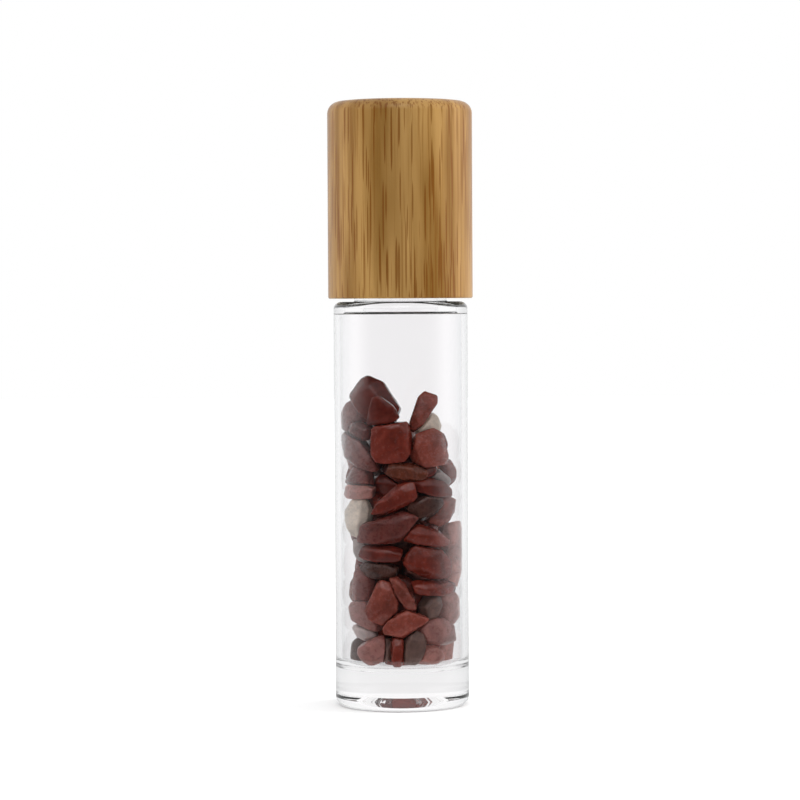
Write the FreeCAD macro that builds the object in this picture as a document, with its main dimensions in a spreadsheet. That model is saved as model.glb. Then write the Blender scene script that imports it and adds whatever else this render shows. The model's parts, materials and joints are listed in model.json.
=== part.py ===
import FreeCAD, Part
import itertools
import math
import os
import random
from collections import namedtuple

import Sketcher

# Roll-on bottle: a clear glass vial of loose stone chips, with a roller ball and a bamboo screw cap.
# Millimetres. +Z is up, and the origin is the middle of the ring that the bottle stands on.
# The front of the bottle faces -Y.

DOCUMENT_NAME = "roll_on_bottle"
SHEET_NAME = "sizes"

# Driving sizes: alias, value, what it measures.
SIZES = (
    ("body_diameter", 20.0, "outside of the glass barrel"),
    ("body_height", 60.3, "from the standing ring to the flat of the shoulder"),
    ("glass_wall", 0.9, "wall of the barrel"),
    ("shoulder_wall", 1.75, "glass of the shoulder round the neck"),
    ("base_thickness", 5.6, "solid glass under the inner floor"),
    ("heel_radius", 1.5, "outer corner of the base"),
    ("floor_radius", 1.9, "inner corner of the floor"),
    ("shoulder_radius", 1.1, "outer corner of the shoulder"),
    ("push_up", 1.6, "hollow under the base"),
    ("push_up_flank", 1.9, "width of the hollow's sloping flank"),
    ("push_up_radius", 0.3, "rounding of the hollow's two edges"),
    ("foot_width", 3.0, "flat ring that the bottle stands on"),
    ("neck_bore", 11.2, "bore of the neck"),
    ("neck_wall", 1.3, "wall of the neck between threads"),
    ("neck_height", 12.5, "from the shoulder to the rim"),
    ("neck_root_radius", 0.6, "corner between neck and shoulder"),
    ("rim_radius", 0.3, "rounding of the rim"),
    ("thread_pitch", 3.0, "climb of the cap per turn"),
    ("thread_turns", 1.5, "turns of thread on the neck and in the cap"),
    ("thread_depth", 0.8, "height of the thread ridge"),
    ("thread_base", 1.4, "width of the ridge at its root"),
    ("thread_crest", 0.7, "width of the ridge at its crest"),
    ("thread_start", 3.6, "shoulder to the middle of the first neck ridge"),
    ("thread_clearance", 0.25, "radial play between neck and cap threads"),
    ("thread_sink", 0.2, "depth to which a ridge is rooted in its wall"),
    ("housing_wall", 0.5, "roller housing beside the ball"),
    ("plug_depth", 7.0, "roller housing below the rim"),
    ("plug_clearance", 0.05, "play between plug and neck bore"),
    ("plug_skirt", 0.8, "wall of the plug's open lower end"),
    ("plug_web", 2.3, "from the plug's lower end to the web under the ball"),
    ("bead_bite", 0.04, "how far the plug's beads press into the glass"),
    ("bead_width", 0.8, "width of a plug bead at its root"),
    ("bead_spacing", 2.2, "distance between the plug's beads"),
    ("flange_thickness", 1.2, "collar of the housing on the rim"),
    ("flange_inset", 0.1, "collar edge inside the neck's outside"),
    ("lip_wall", 1.0, "housing wall at the ball's middle, above the collar"),
    ("lip_rise", 2.1, "top of the lip above the ball's middle"),
    ("lip_edge", 0.6, "housing wall at the top of the lip"),
    ("feed_diameter", 6.0, "hole that wets the ball from below"),
    ("ball_rise", 1.6, "middle of the ball above the rim"),
    ("ball_clearance", 0.05, "play of the ball in its cup"),
    ("seal_thickness", 1.5, "sealing disc"),
    ("seal_gap", 0.2, "ball to sealing disc"),
    ("seal_side_gap", 0.15, "sealing disc to the liner's wall"),
    ("seal_top_gap", 0.05, "sealing disc to the liner's ceiling"),
    ("seal_edge", 0.2, "chamfer of the sealing disc"),
    ("liner_wall", 0.9, "wall of the threaded liner"),
    ("liner_top", 1.2, "ceiling of the threaded liner"),
    ("liner_recess", 0.5, "liner's lower edge above the cap's lower edge"),
    ("glue_gap", 0.05, "glue line between liner and shell"),
    ("cap_wall", 1.88, "bamboo around the liner"),
    ("cap_crown", 7.65, "solid bamboo above the liner"),
    ("cap_gap", 0.45, "cap's lower edge above the shoulder"),
    ("cap_top_radius", 1.8, "rounding of the cap's top edge"),
    ("cap_bottom_radius", 0.3, "rounding of the cap's lower edge"),
    ("fill_share", 0.8234, "share of the barrel's inner height that the chips fill"),
    ("chip_gap", 0.14, "space left between neighbouring chips"),
    ("chip_wall_gap", 0.14, "space left between the chips and the glass"),
)

BEAD_COUNT = 2
FULL_TURN = 360.0

# A rounding takes at most this share of the flat that it eats into.
ROUND_LIMIT = 0.8

# Heights and radii worked out from the driving sizes, as expressions of the sheet.
BODY_R = "(sizes.body_diameter / 2)"
BORE_R = f"({BODY_R} - sizes.glass_wall)"
NECK_BORE_R = "(sizes.neck_bore / 2)"
NECK_R = f"({NECK_BORE_R} + sizes.neck_wall)"
CREST_R = f"({NECK_R} + sizes.thread_depth)"
SHOULDER_Z = "sizes.body_height"
CEILING_Z = "(sizes.body_height - sizes.shoulder_wall)"
RIM_Z = "(sizes.body_height + sizes.neck_height)"
SHOULDER_WIDTH = f"({BODY_R} - {NECK_R})"
SHOULDER_ROUND = f"min(sizes.shoulder_radius; {ROUND_LIMIT} * {SHOULDER_WIDTH})"
INNER_SHOULDER_ROUND = f"max({SHOULDER_ROUND} - sizes.shoulder_wall; sizes.rim_radius)"
FOOT_R = f"({BODY_R} - sizes.heel_radius - sizes.foot_width)"
PUSH_UP_R = f"({FOOT_R} - sizes.push_up_flank)"

PLUG_R = f"({NECK_BORE_R} - sizes.plug_clearance)"
CUP_R = f"({PLUG_R} - sizes.housing_wall)"
BALL_R = f"({CUP_R} - sizes.ball_clearance)"
BALL_Z = f"({RIM_Z} + sizes.ball_rise)"
BALL_TOP_Z = f"({BALL_Z} + {BALL_R})"
PLUG_END_Z = f"({RIM_Z} - sizes.plug_depth)"
WEB_Z = f"({PLUG_END_Z} + sizes.plug_web)"
FLANGE_Z = f"({RIM_Z} + sizes.flange_thickness)"
FLANGE_R = f"({NECK_R} - sizes.flange_inset)"
LIP_Z = f"({BALL_Z} + sizes.lip_rise)"
LIP_CUP_R = f"sqrt({CUP_R} * {CUP_R} - sizes.lip_rise * sizes.lip_rise)"
FEED_R = "(sizes.feed_diameter / 2)"

LINER_R = f"({CREST_R} + sizes.thread_clearance)"
LINER_OUT_R = f"({LINER_R} + sizes.liner_wall)"
SEAL_Z = f"({BALL_TOP_Z} + sizes.seal_gap)"
LINER_CEILING_Z = f"({SEAL_Z} + sizes.seal_thickness + sizes.seal_top_gap)"
LINER_TOP_Z = f"({LINER_CEILING_Z} + sizes.liner_top)"
CAP_Z = f"({SHOULDER_Z} + sizes.cap_gap)"
LINER_Z = f"({CAP_Z} + sizes.liner_recess)"
SHELL_BORE_R = f"({LINER_OUT_R} + sizes.glue_gap)"
SHELL_BORE_Z = f"({LINER_TOP_Z} + sizes.glue_gap)"
CAP_R = f"({SHELL_BORE_R} + sizes.cap_wall)"
CAP_TOP_Z = f"({SHELL_BORE_Z} + sizes.cap_crown)"

NECK_RIDGE_Z = f"({SHOULDER_Z} + sizes.thread_start)"
CAP_RIDGE_Z = f"({NECK_RIDGE_Z} - sizes.thread_pitch / 2)"

# The pile of chips as it was drawn: it stretches with the bore and with the fill.
DRAWN_BORE_R = 9.1
DRAWN_FILL = 43.6

Chip = namedtuple("Chip", "azimuth up inset long wide thick turn lean taper", defaults=(0.0,))

# Chips against the front of the glass, from the top of the pile down: degrees round from the front,
# height above the floor, space to the glass, three sizes, turn in the plane of the glass, lean, and
# for some how much they narrow from the middle to the far end.
FRONT_CHIPS = (
    Chip(-52, 40.0, 0.9, 7.5, 6.9, 5.2, 104, 10, 0.4),
    Chip(-70, 37.8, 0.5, 5.0, 4.4, 3.2, 75, 0, 0.3),
    Chip(-17, 38.2, 0.0, 5.0, 3.8, 2.2, -14, 12, 0.6),
    Chip(28, 38.3, 1.5, 5.9, 2.4, 2.6, 62, -15, -0.25),
    Chip(47, 36.3, 2.2, 3.8, 3.3, 3.0, 30, 20),
    Chip(-50, 35.6, 0.3, 3.4, 2.5, 2.6, -20, 0),
    Chip(-10, 34.3, 0.0, 6.9, 5.9, 3.2, 85, 6, 0.12),
    Chip(33, 32.5, 0.1, 6.0, 5.2, 3.4, -70, -14, 0.15),
    Chip(-54, 32.3, 0.0, 7.8, 3.5, 3.0, -48, 8),
    Chip(-66, 31.0, 0.8, 3.6, 2.4, 2.2, -70, 0),
    Chip(7, 29.8, 0.2, 6.0, 2.3, 3.0, -8, 18),
    Chip(32, 29.7, 0.8, 2.8, 2.0, 2.6, 40, 0),
    Chip(-55, 28.9, 0.5, 4.2, 3.8, 2.8, 80, -12, 0.5),
    Chip(50, 28.5, 0.6, 3.0, 2.2, 2.4, -40, 10),
    Chip(-22, 27.6, 4.0, 5.6, 3.6, 3.4, 0, 25),
    Chip(36, 27.3, 0.0, 6.0, 2.6, 3.0, -14, 22),
    Chip(-54, 26.7, 0.0, 4.5, 2.4, 3.0, 0, 15),
    Chip(-9, 25.4, 0.0, 7.2, 2.8, 2.6, 32, -10, -0.35),
    Chip(26, 24.4, 0.6, 5.2, 3.3, 3.0, 25, 14),
    Chip(54, 23.8, 0.5, 5.2, 3.4, 3.0, 60, 0),
    Chip(-57, 22.9, 0.0, 6.3, 3.4, 3.4, 85, 5),
    Chip(-11, 21.3, 0.0, 9.2, 3.9, 3.6, 14, 10),
    Chip(29, 20.0, 0.0, 7.6, 2.7, 3.0, -14, 20, 0.3),
    Chip(-58, 17.8, 1.0, 3.6, 2.4, 2.4, -60, 0),
    Chip(-24, 17.6, 0.0, 6.5, 2.4, 3.0, -3, 24),
    Chip(72, 17.5, 0.0, 9.4, 3.0, 2.4, 88, 0),
    Chip(32, 16.3, 0.0, 7.3, 4.8, 3.8, -22, 6),
    Chip(-27, 15.0, 0.6, 5.6, 2.5, 3.0, -8, -18),
    Chip(-49, 12.8, 0.4, 5.9, 3.0, 3.0, 88, 8),
    Chip(36, 12.5, 0.0, 6.2, 2.1, 3.0, -3, 26),
    Chip(2, 11.7, 0.0, 5.6, 2.0, 2.6, -58, 10),
    Chip(-21, 10.4, 0.0, 6.3, 4.2, 3.0, 80, 6, 0.2),
    Chip(35, 9.6, 0.6, 3.4, 2.6, 2.8, 60, 12),
    Chip(66, 9.2, 0.3, 4.8, 3.8, 3.4, 85, 0),
    Chip(-46, 8.4, 0.4, 5.4, 3.9, 3.0, -40, 12),
    Chip(2, 7.1, 0.0, 7.0, 3.5, 3.0, 30, 20, -0.2),
    Chip(38, 5.8, 0.4, 6.4, 4.1, 3.6, -5, 8),
    Chip(-51, 5.8, 0.8, 3.6, 2.1, 2.6, -25, 0),
    Chip(-20, 3.2, 1.4, 3.6, 2.6, 3.0, 85, 0),
    Chip(12, 3.6, 0.0, 5.0, 3.1, 3.0, 75, 10),
    Chip(-5, 3.2, 0.0, 4.6, 2.1, 3.0, 88, 6),
    Chip(-33, 3.1, 0.5, 5.0, 4.0, 3.0, 40, 10),
    Chip(33, 2.4, 0.4, 4.0, 3.3, 3.4, 10, 0),
)

# Rows of chips behind them: some against the back of the glass, staggered, and some in the middle.
ROW_COUNT = 8
ROW_FIRST = 2.2
ROW_STEP = 4.4
BACK_FIRST = 126.0
BACK_STEP = 27.0
BACK_PER_ROW = 5
CORE_PER_ROW = 3
CORE_INSET = 3.3
BACK_SIZE = (5.4, 4.4, 3.4)
CORE_SIZE = (6.0, 5.2, 4.8)
SIZE_SPREAD = 0.14
PLACE_SPREAD = 0.35
LEAN_SPREAD = 25.0

# Chips at the sides turn only part of the way with the glass.
FRONT_FACING = 0.5

# A chip is the space inside planes that lie against a rounded block, each a little out of true.
BLOCK_POWER = (1.25, 1.7)
TILT_SPREAD = 0.2
DEPTH_SPREAD = (0.88, 1.03)
WALL_STEP = 12.0
WALL_STEPS = 5
FLOOR_SLANTS = (0.0, -22.5, -45.0, -67.5, -90.0)
HAIR = 0.01
MERGE = 1e-6
REACH = 40.0

Z = FreeCAD.Vector(0, 0, 1)

Stone = namedtuple("Stone", "centre axes halves azimuth taper")
Bore = namedtuple("Bore", "radius corner floor top wall_gap chip_gap")


def make_sheet(doc):
    """The spreadsheet of driving sizes: name, value and meaning in each row."""
    sheet = doc.addObject("Spreadsheet::Sheet", SHEET_NAME)
    for row, (alias, value, meaning) in enumerate(SIZES, start=1):
        sheet.set(f"A{row}", alias)
        sheet.set(f"B{row}", str(value))
        sheet.set(f"C{row}", meaning)
        sheet.setAlias(f"B{row}", alias)
    doc.recompute()
    return sheet


def size_of(doc, expression):
    """The present value of an expression of the sheet."""
    return float(doc.getObject(SHEET_NAME).evalExpression(expression.replace("sizes.", "")))


def origin_plane(body, role):
    """One of the body's own origin planes."""
    return next(item for item in body.Origin.OriginFeatures if item.Role == role)


def half_section(body, name, corners):
    """A closed outline in the XZ plane, whose corners are pairs of expressions: radius and height."""
    doc = body.Document
    sketch = body.newObject("Sketcher::SketchObject", name)
    sketch.AttachmentSupport = [(origin_plane(body, "XZ_Plane"), "")]
    sketch.MapMode = "FlatFace"
    points = [FreeCAD.Vector(size_of(doc, across), size_of(doc, up), 0) for across, up in corners]
    count = len(points)
    for index, point in enumerate(points):
        sketch.addGeometry(Part.LineSegment(point, points[(index + 1) % count]))
    for index in range(count):
        sketch.addConstraint(Sketcher.Constraint("Coincident", index, 2, (index + 1) % count, 1))
    for index, (across, up) in enumerate(corners):
        fix_corner(sketch, index, "DistanceX", across, points[index].x)
        fix_corner(sketch, index, "DistanceY", up, points[index].y)
    return sketch


def fix_corner(sketch, index, kind, expression, value):
    """Ties one coordinate of a sketch corner to an expression, or to the axis where it is zero."""
    if expression == "0":
        axis = -2 if kind == "DistanceX" else -1
        sketch.addConstraint(Sketcher.Constraint("PointOnObject", index, 1, axis))
        return
    number = sketch.addConstraint(Sketcher.Constraint(kind, -1, 1, index, 1, value))
    sketch.setExpression(f"Constraints[{number}]", expression)


def turned_body(doc, label, corners):
    """A body turned from a half section."""
    body = doc.addObject("PartDesign::Body", label)
    body.Label = label
    sketch = half_section(body, f"{label}_section", corners)
    turning = body.newObject("PartDesign::Revolution", f"{label}_turning")
    turning.Profile = sketch
    turning.ReferenceAxis = (sketch, ["V_Axis"])
    turning.Angle = FULL_TURN
    doc.recompute()
    return body


def ring_edges(shape, radius, height):
    """Names of the circular edges of that radius at that height."""
    names = []
    for number, edge in enumerate(shape.Edges, start=1):
        if not isinstance(edge.Curve, Part.Circle):
            continue
        off_radius = abs(edge.Curve.Radius - radius)
        off_height = abs(edge.Curve.Center.z - height)
        if max(off_radius, off_height) < HAIR:
            names.append(f"Edge{number}")
    return names


def soften(body, name, kind, size, rings):
    """Rounds or chamfers circular edges of the body, given as pairs of expressions: radius and height."""
    doc = body.Document
    base = body.Tip
    names = []
    for radius, height in rings:
        names.extend(ring_edges(base.Shape, size_of(doc, radius), size_of(doc, height)))
    edging = body.newObject(f"PartDesign::{kind}", name)
    edging.Base = (base, names)
    edging.setExpression("Radius" if kind == "Fillet" else "Size", size)
    doc.recompute()


def hollow_ball(body, name, radius, height):
    """Takes a ball out of the body, on its axis."""
    ball = body.newObject("PartDesign::SubtractiveSphere", name)
    ball.setExpression("Radius", radius)
    ball.setExpression("Placement.Base.z", height)
    body.Document.recompute()


def thread_ridge(body, name, root, crest, height):
    """A helical ridge from root radius to crest radius, whose first turn is centred at that height."""
    base_half = "sizes.thread_base / 2"
    crest_half = "sizes.thread_crest / 2"
    corners = (
        (root, f"{height} - {base_half}"),
        (crest, f"{height} - {crest_half}"),
        (crest, f"{height} + {crest_half}"),
        (root, f"{height} + {base_half}"),
    )
    sketch = half_section(body, f"{name}_section", corners)
    ridge = body.newObject("PartDesign::AdditiveHelix", name)
    ridge.Profile = sketch
    ridge.ReferenceAxis = (sketch, ["V_Axis"])
    ridge.Mode = "pitch-turns-angle"
    ridge.setExpression("Pitch", "sizes.thread_pitch")
    ridge.setExpression("Turns", "sizes.thread_turns")
    body.Document.recompute()


def glass_bottle(doc):
    """Clear vial: thick base with a hollow under it, straight barrel, shoulder and threaded neck."""
    corners = (
        ("0", "sizes.push_up"),
        (PUSH_UP_R, "sizes.push_up"),
        (FOOT_R, "0"),
        (BODY_R, "0"),
        (BODY_R, SHOULDER_Z),
        (NECK_R, SHOULDER_Z),
        (NECK_R, RIM_Z),
        (NECK_BORE_R, RIM_Z),
        (NECK_BORE_R, CEILING_Z),
        (BORE_R, CEILING_Z),
        (BORE_R, "sizes.base_thickness"),
        ("0", "sizes.base_thickness"),
    )
    body = turned_body(doc, "glass_bottle", corners)
    soften(body, "heel", "Fillet", "sizes.heel_radius", [(BODY_R, "0")])
    soften(body, "floor_corner", "Fillet", "sizes.floor_radius", [(BORE_R, "sizes.base_thickness")])
    soften(body, "shoulder", "Fillet", SHOULDER_ROUND, [(BODY_R, SHOULDER_Z)])
    soften(body, "inner_shoulder", "Fillet", INNER_SHOULDER_ROUND, [(BORE_R, CEILING_Z)])
    soften(body, "neck_root", "Fillet", "sizes.neck_root_radius", [(NECK_R, SHOULDER_Z)])
    soften(body, "rim", "Fillet", "sizes.rim_radius", [(NECK_R, RIM_Z), (NECK_BORE_R, RIM_Z)])
    soften(body, "push_up_edges", "Fillet", "sizes.push_up_radius", [(FOOT_R, "0"), (PUSH_UP_R, "sizes.push_up")])
    thread_ridge(body, "neck_thread", f"{NECK_R} - sizes.thread_sink", CREST_R, NECK_RIDGE_Z)
    return body


def roller_housing(doc):
    """Fitment in the neck: beaded plug, collar on the rim and a cup whose lip holds the ball."""
    corners = [
        (FEED_R, WEB_Z),
        (f"{PLUG_R} - sizes.plug_skirt", WEB_Z),
        (f"{PLUG_R} - sizes.plug_skirt", PLUG_END_Z),
        (PLUG_R, PLUG_END_Z),
    ]
    for number in range(BEAD_COUNT):
        bead_z = f"({PLUG_END_Z} + sizes.bead_spacing * {number + 1})"
        corners.append((PLUG_R, f"{bead_z} - sizes.bead_width / 2"))
        corners.append((f"{NECK_BORE_R} + sizes.bead_bite", bead_z))
        corners.append((PLUG_R, f"{bead_z} + sizes.bead_width / 2"))
    corners += [
        (PLUG_R, RIM_Z),
        (FLANGE_R, RIM_Z),
        (FLANGE_R, FLANGE_Z),
        (f"{CUP_R} + sizes.lip_wall", FLANGE_Z),
        (f"{LIP_CUP_R} + sizes.lip_edge", LIP_Z),
        (FEED_R, LIP_Z),
    ]
    body = turned_body(doc, "roller_housing", corners)
    hollow_ball(body, "ball_cup", CUP_R, BALL_Z)
    return body


def roller_ball(doc):
    """The ball that lays the liquid on the skin."""
    ball = doc.addObject("Part::Sphere", "roller_ball")
    ball.Label = "roller_ball"
    ball.setExpression("Radius", BALL_R)
    ball.setExpression("Placement.Base.z", BALL_Z)
    return ball


def sealing_disc(doc):
    """Loose wad under the liner's ceiling, which closes the ball when the cap is screwed down."""
    edge_r = f"{LINER_R} - sizes.seal_side_gap"
    top_z = f"{SEAL_Z} + sizes.seal_thickness"
    corners = (("0", SEAL_Z), (edge_r, SEAL_Z), (edge_r, top_z), ("0", top_z))
    body = turned_body(doc, "sealing_disc", corners)
    soften(body, "disc_edges", "Chamfer", "sizes.seal_edge", [(edge_r, SEAL_Z), (edge_r, top_z)])
    return body


def cap_liner(doc):
    """Moulded sleeve glued into the cap: ceiling, wall and internal thread."""
    corners = (
        (LINER_R, LINER_Z),
        (LINER_OUT_R, LINER_Z),
        (LINER_OUT_R, LINER_TOP_Z),
        ("0", LINER_TOP_Z),
        ("0", LINER_CEILING_Z),
        (LINER_R, LINER_CEILING_Z),
    )
    body = turned_body(doc, "cap_liner", corners)
    crest = f"{LINER_R} - sizes.thread_depth"
    thread_ridge(body, "cap_thread", f"{LINER_R} + sizes.thread_sink", crest, CAP_RIDGE_Z)
    return body


def bamboo_cap(doc):
    """Turned bamboo barrel with a rounded top, bored from below for the liner."""
    corners = (
        (SHELL_BORE_R, CAP_Z),
        (CAP_R, CAP_Z),
        (CAP_R, CAP_TOP_Z),
        ("0", CAP_TOP_Z),
        ("0", SHELL_BORE_Z),
        (SHELL_BORE_R, SHELL_BORE_Z),
    )
    body = turned_body(doc, "bamboo_cap", corners)
    soften(body, "top_edge", "Fillet", "sizes.cap_top_radius", [(CAP_R, CAP_TOP_Z)])
    soften(body, "lower_edge", "Fillet", "sizes.cap_bottom_radius", [(CAP_R, CAP_Z)])
    return body


def outward(azimuth):
    """Level direction out of the bottle, in degrees round from the front."""
    angle = math.radians(azimuth)
    return FreeCAD.Vector(math.sin(angle), -math.cos(angle), 0)


def turned_pair(first, second, degrees):
    """Two directions, both turned in their own plane."""
    cosine = math.cos(math.radians(degrees))
    sine = math.sin(math.radians(degrees))
    return first * cosine + second * sine, second * cosine - first * sine


def measured_bore(doc):
    """The space that the chips lie in, from the sheet."""
    return Bore(
        radius=size_of(doc, BORE_R),
        corner=size_of(doc, "sizes.floor_radius"),
        floor=size_of(doc, "sizes.base_thickness"),
        top=size_of(doc, f"{CEILING_Z} - {INNER_SHOULDER_ROUND}"),
        wall_gap=size_of(doc, "sizes.chip_wall_gap"),
        chip_gap=size_of(doc, "sizes.chip_gap"),
    )


def laid_stone(doc, bore, chip, facing):
    """Places a chip in the bore: its centre, its three directions and its three half sizes."""
    fill = size_of(doc, f"({CEILING_Z} - sizes.base_thickness) * sizes.fill_share")
    spread = bore.radius / DRAWN_BORE_R
    lift = fill / DRAWN_FILL
    grade = max(spread, lift)
    thick_way = outward(chip.azimuth * facing)
    level_way = outward(chip.azimuth * facing + FULL_TURN / 4)
    long_way, wide_way = turned_pair(level_way, Z, chip.turn)
    wide_way, thick_way = turned_pair(wide_way, thick_way, chip.lean)
    radius = bore.radius - bore.wall_gap - (chip.inset + chip.thick / 2) * spread
    centre = outward(chip.azimuth) * radius + Z * (bore.floor + chip.up * lift)
    halves = [size * grade / 2 for size in (chip.long, chip.wide, chip.thick)]
    return Stone(centre, (long_way, wide_way, thick_way), halves, chip.azimuth, chip.taper)


def row_chips(row):
    """One row of chips behind the front ones: against the back of the glass, and in the middle."""
    draw = random.Random(row)
    chips = []
    stagger = BACK_STEP / 2 if row % 2 else 0.0
    for number in range(BACK_PER_ROW - row % 2):
        azimuth = BACK_FIRST + stagger + BACK_STEP * number
        chips.append(drawn_chip(draw, row, azimuth, 0.0, BACK_SIZE))
    for number in range(CORE_PER_ROW):
        azimuth = (number + row / 2) * FULL_TURN / CORE_PER_ROW
        chips.append(drawn_chip(draw, row, azimuth, CORE_INSET, CORE_SIZE))
    return chips


def drawn_chip(draw, row, azimuth, inset, size):
    """A chip of about that size, a little off its place in the row and turned at random."""
    up = ROW_FIRST + ROW_STEP * row + draw.uniform(-PLACE_SPREAD, PLACE_SPREAD)
    long, wide, thick = (side * draw.uniform(1 - SIZE_SPREAD, 1 + SIZE_SPREAD) for side in size)
    turn = draw.uniform(0, FULL_TURN / 2)
    lean = draw.uniform(-LEAN_SPREAD, LEAN_SPREAD)
    return Chip(azimuth, up, inset, long, wide, thick, turn, lean)


def block_planes(stone, draw):
    """Planes against a rounded block of the stone's sizes: faces, edges and corners, out of true."""
    power = draw.uniform(*BLOCK_POWER)
    for ways in itertools.product((-1, 0, 1), repeat=3):
        if not any(ways):
            continue
        along, across, through = (way + draw.uniform(-TILT_SPREAD, TILT_SPREAD) for way in ways)
        reach = (abs(along) ** power + abs(across) ** power + abs(through) ** power) ** (1 / power)
        along += stone.taper * abs(across)
        normal = FreeCAD.Vector(0, 0, 0)
        for way, axis, half in zip((along, across, through), stone.axes, stone.halves):
            normal += axis * (way / half)
        depth = reach * draw.uniform(*DEPTH_SPREAD) / normal.Length
        normal.normalize()
        yield normal, depth


def bore_planes(stone, bore):
    """Planes that keep a stone off the barrel's wall, its rounded floor corner and its shoulder."""
    ring = bore.radius - bore.corner
    rise = bore.floor + bore.corner
    for step in range(-WALL_STEPS, WALL_STEPS + 1):
        out = outward(stone.azimuth + step * WALL_STEP)
        for slant in FLOOR_SLANTS:
            cosine = math.cos(math.radians(slant))
            sine = math.sin(math.radians(slant))
            normal = out * cosine + Z * sine
            reach = ring * cosine + rise * sine + bore.corner - bore.wall_gap
            yield normal, reach - normal.dot(stone.centre)
    yield Z, bore.top - bore.wall_gap - stone.centre.z


def pull(stone, way):
    """Slope of the stone's rounded form in a direction, and its half size that way."""
    slope = FreeCAD.Vector(0, 0, 0)
    for axis, half in zip(stone.axes, stone.halves):
        slope += axis * (way.dot(axis) / half ** 2)
    return slope, 1 / math.sqrt(way.dot(slope))


def neighbour_planes(stone, stones, gap):
    """Planes midway to each near stone, with half the gap on either side."""
    reach = math.hypot(*stone.halves)
    for other in stones:
        way = other.centre - stone.centre
        distance = way.Length
        if other is stone or distance > reach + math.hypot(*other.halves) + gap:
            continue
        way.normalize()
        slope, half = pull(stone, way)
        other_slope, other_half = pull(other, way)
        normal = slope * half + other_slope * other_half
        normal.normalize()
        yield normal, normal.dot(way) * distance * half / (half + other_half) - gap / 2


def rough_cube():
    """Six square faces round the origin, as lists of corners."""
    faces = []
    for axis in range(3):
        for side in (-REACH, REACH):
            corners = []
            for first, second in ((-1, -1), (1, -1), (1, 1), (-1, 1)):
                place = [first * REACH, second * REACH]
                place.insert(axis, side)
                corners.append(FreeCAD.Vector(*place))
            faces.append(corners)
    return faces


def cut_off(faces, normal, depth):
    """Cuts away what lies beyond a plane, and closes the cut. A cut by a hair is left out."""
    heights = [normal.dot(corner) - depth for face in faces for corner in face]
    if max(heights) < HAIR:
        return faces
    while min(abs(height) for height in heights) < HAIR:
        depth -= HAIR
        heights = [height + HAIR for height in heights]
    kept = []
    rim = []
    for face in faces:
        trimmed = []
        for index, corner in enumerate(face):
            before = face[index - 1]
            drop = normal.dot(corner) - depth
            drop_before = normal.dot(before) - depth
            if drop * drop_before < 0:
                crossing = before + (corner - before) * (drop_before / (drop_before - drop))
                trimmed.append(crossing)
                rim.append(crossing)
            if drop < 0:
                trimmed.append(corner)
        if trimmed:
            kept.append(trimmed)
    kept.append(around(normal, rim))
    return kept


def around(normal, corners):
    """The corners of a flat cut in order round its middle, each kept once."""
    middle = sum(corners, FreeCAD.Vector(0, 0, 0)) * (1 / len(corners))
    first = (corners[0] - middle).normalize()
    second = normal.cross(first)
    angles = [math.atan2((spot - middle).dot(second), (spot - middle).dot(first)) for spot in corners]
    ordered = [spot for _, spot in sorted(zip(angles, corners), key=lambda pair: pair[0])]
    return [spot for index, spot in enumerate(ordered) if spot.distanceToPoint(ordered[index - 1]) > MERGE]


def stone_solid(stone, stones, bore, number):
    """A chip as a solid round its own centre, cut clear of the glass and of its neighbours."""
    draw = random.Random(number)
    faces = rough_cube()
    planes = itertools.chain(
        block_planes(stone, draw),
        bore_planes(stone, bore),
        neighbour_planes(stone, stones, bore.chip_gap),
    )
    for normal, depth in planes:
        faces = cut_off(faces, normal, depth)
    sides = [Part.Face(Part.makePolygon(face + face[:1])) for face in faces]
    return Part.Solid(Part.Shell(sides))


def stone_chips(doc):
    """The pile: each front chip a piece of its own, and each row behind them one group of chips."""
    bore = measured_bore(doc)
    stones = [laid_stone(doc, bore, chip, FRONT_FACING) for chip in FRONT_CHIPS]
    groups = [[number] for number in range(len(stones))]
    labels = [f"stone_chip_{number:02d}" for number in range(1, len(stones) + 1)]
    for row in range(ROW_COUNT):
        first = len(stones)
        stones += [laid_stone(doc, bore, chip, 1.0) for chip in row_chips(row)]
        groups.append(list(range(first, len(stones))))
        labels.append(f"rear_chips_{row + 1:02d}")
    return [chip_piece(doc, label, group, stones, bore) for label, group in zip(labels, groups)]


def chip_piece(doc, label, group, stones, bore):
    """One node of the pile, placed at its first chip's centre."""
    base = stones[group[0]].centre
    solids = []
    for number in group:
        solid = stone_solid(stones[number], stones, bore, number)
        solid.translate(stones[number].centre - base)
        solids.append(solid)
    piece = doc.addObject("Part::Feature", label)
    piece.Label = label
    piece.Shape = solids[0] if len(solids) == 1 else Part.makeCompound(solids)
    piece.Placement = FreeCAD.Placement(base, FreeCAD.Rotation())
    return piece


def check(doc, pieces):
    """Stops if any step of the model failed, or if a piece isn't made of sound closed solids."""
    for item in doc.Objects:
        if {"Invalid", "Error"} & set(item.State):
            raise RuntimeError(f"{item.Name} failed")
    for piece in pieces:
        shape = piece.Shape
        if shape.isNull() or not shape.isValid() or not shape.Solids:
            raise RuntimeError(f"{piece.Label} has no sound shape")
        if min(solid.Volume for solid in shape.Solids) <= 0:
            raise RuntimeError(f"{piece.Label} is inside out")


def main():
    doc = FreeCAD.newDocument(DOCUMENT_NAME)
    make_sheet(doc)
    pieces = [
        glass_bottle(doc),
        roller_housing(doc),
        roller_ball(doc),
        sealing_disc(doc),
        cap_liner(doc),
        bamboo_cap(doc),
    ]
    pieces += stone_chips(doc)
    doc.recompute()
    check(doc, pieces)
    os.makedirs("parts", exist_ok=True)
    for piece in pieces:
        piece.Shape.exportStep(f"parts/{piece.Label}.step")
        box = piece.Shape.BoundBox
        print(f"{piece.Label}: {len(piece.Shape.Solids)} solids, {piece.Shape.Volume:.2f} mm3, "
              f"z {box.ZMin:.2f} to {box.ZMax:.2f}, across {box.XLength:.2f}")


main()
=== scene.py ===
import json
import math
import random

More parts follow.
